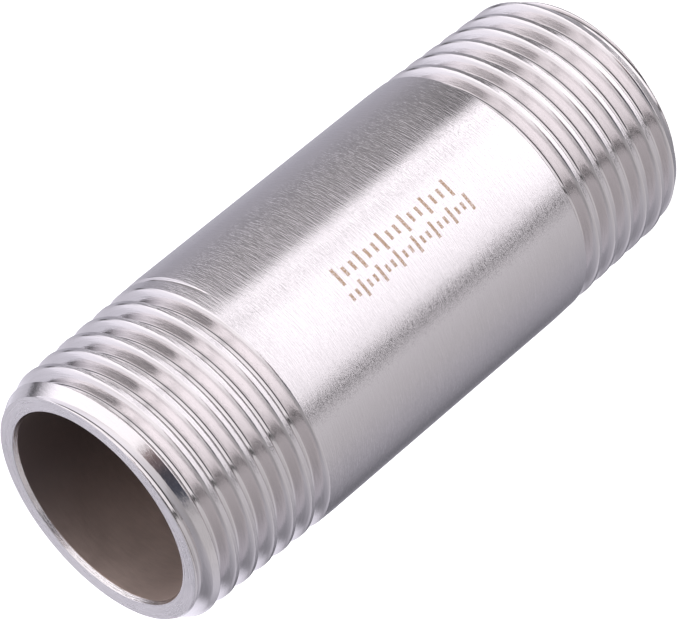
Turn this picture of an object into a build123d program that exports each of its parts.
from build123d import *
import math
import os

# Half-inch by two-inch stainless steel pipe nipple, taper threaded at both ends.
# Millimetres. The tube's axis is Z, and it stands on its bottom end face at Z = 0,
# so the origin is the centre of that face.

# Tube
length = 50.8
barrel_diameter = 21.0
bore_diameter = 15.8

# Taper thread: 14 turns per inch, 1 in 16 on the diameter, 55 degree form, right hand
pitch = 25.4 / 14
taper_on_diameter = 1 / 16
thread_angle = 55.0
crest_flat = 0.45
thread_depth = 1.02
tip_crest_diameter = 20.15

# Where each thread ends and how it lies around the tube.
# The groove runs out over the last part of a turn, up to the surface of the tube.
top_thread_length = 12.66
bottom_thread_length = 12.3
runout_turns = 0.5
top_thread_start = 29.3
bottom_thread_start = 305.8

# Bevels
tip_bevel_length = 1.5
tip_face_diameter = 18.44
bore_bevel_length = 0.4
bore_mouth_diameter = 16.1

# The groove cutter reaches this far above the crests, and this far past the tube's end
cutter_overrun = 0.25
lead_in_turns = 1.5

taper_slope = taper_on_diameter / 2
taper_angle = math.degrees(math.atan(taper_slope))
flank_tangent = math.tan(math.radians(thread_angle / 2))


def half_blank():
    """Half the tube before threading, from its end at Z = 0 to its middle."""
    cone_length = (barrel_diameter - tip_crest_diameter) / 2 / taper_slope
    bevel_top_radius = tip_crest_diameter / 2 + tip_bevel_length * taper_slope
    outline = Polyline(
        (bore_diameter / 2, bore_bevel_length),
        (bore_mouth_diameter / 2, 0),
        (tip_face_diameter / 2, 0),
        (bevel_top_radius, tip_bevel_length),
        (barrel_diameter / 2, cone_length),
        (barrel_diameter / 2, length / 2),
        (bore_diameter / 2, length / 2),
        close=True,
    )
    return revolve(Plane.XZ * make_face(outline), Axis.Z, 360)


def groove_profile(root_radius):
    """Section of the groove cutter, in the XZ plane, with its root at the given radius."""
    groove_height = thread_depth + cutter_overrun
    root_half_width = (pitch - crest_flat) / 2 - thread_depth * flank_tangent
    top_half_width = root_half_width + groove_height * flank_tangent
    outline = Polyline(
        (root_radius, -root_half_width),
        (root_radius + groove_height, -top_half_width),
        (root_radius + groove_height, top_half_width),
        (root_radius, root_half_width),
        close=True,
    )
    return Plane.XZ * make_face(outline)


def groove_cutters(thread_length):
    """Cutters for a thread that starts at Z = 0, where it crosses the X axis."""
    root_at_tip = tip_crest_diameter / 2 - thread_depth
    runout_length = runout_turns * pitch
    lead_in = lead_in_turns * pitch
    full_length = thread_length - runout_length
    start_radius = root_at_tip - lead_in * taper_slope
    full_helix = Helix(pitch, lead_in + full_length, start_radius, cone_angle=taper_angle)
    full_part = sweep(groove_profile(start_radius), full_helix, is_frenet=True)
    full_part = Pos(0, 0, -lead_in) * Rot(0, 0, -360 * lead_in_turns) * full_part

    runout_radius = root_at_tip + full_length * taper_slope
    runout_rise = thread_depth + runout_length * taper_slope
    runout_angle = math.degrees(math.atan2(runout_rise, runout_length))
    runout_helix = Helix(pitch, runout_length, runout_radius, cone_angle=runout_angle)
    runout_part = sweep(groove_profile(runout_radius), runout_helix, is_frenet=True)
    runout_place = Pos(0, 0, full_length) * Rot(0, 0, 360 * full_length / pitch)
    return [full_part, runout_place * runout_part]


def threaded_half(thread_length):
    """Half the tube with its thread cut, standing on its end at Z = 0."""
    half = half_blank()
    for cutter in groove_cutters(thread_length):
        half -= cutter
    return half


def nipple_body():
    """One tube with a right-hand taper thread at each end."""
    bottom_half = Rot(0, 0, bottom_thread_start) * threaded_half(bottom_thread_length)
    top_half = Rot(180, 0, 0) * threaded_half(top_thread_length)
    return bottom_half + Pos(0, 0, length) * Rot(0, 0, top_thread_start) * top_half


os.makedirs("parts", exist_ok=True)
body = nipple_body()
print("volume", body.volume, "solids", len(body.solids()), "valid", body.is_valid)
export_step(body, "parts/nipple_body.step")
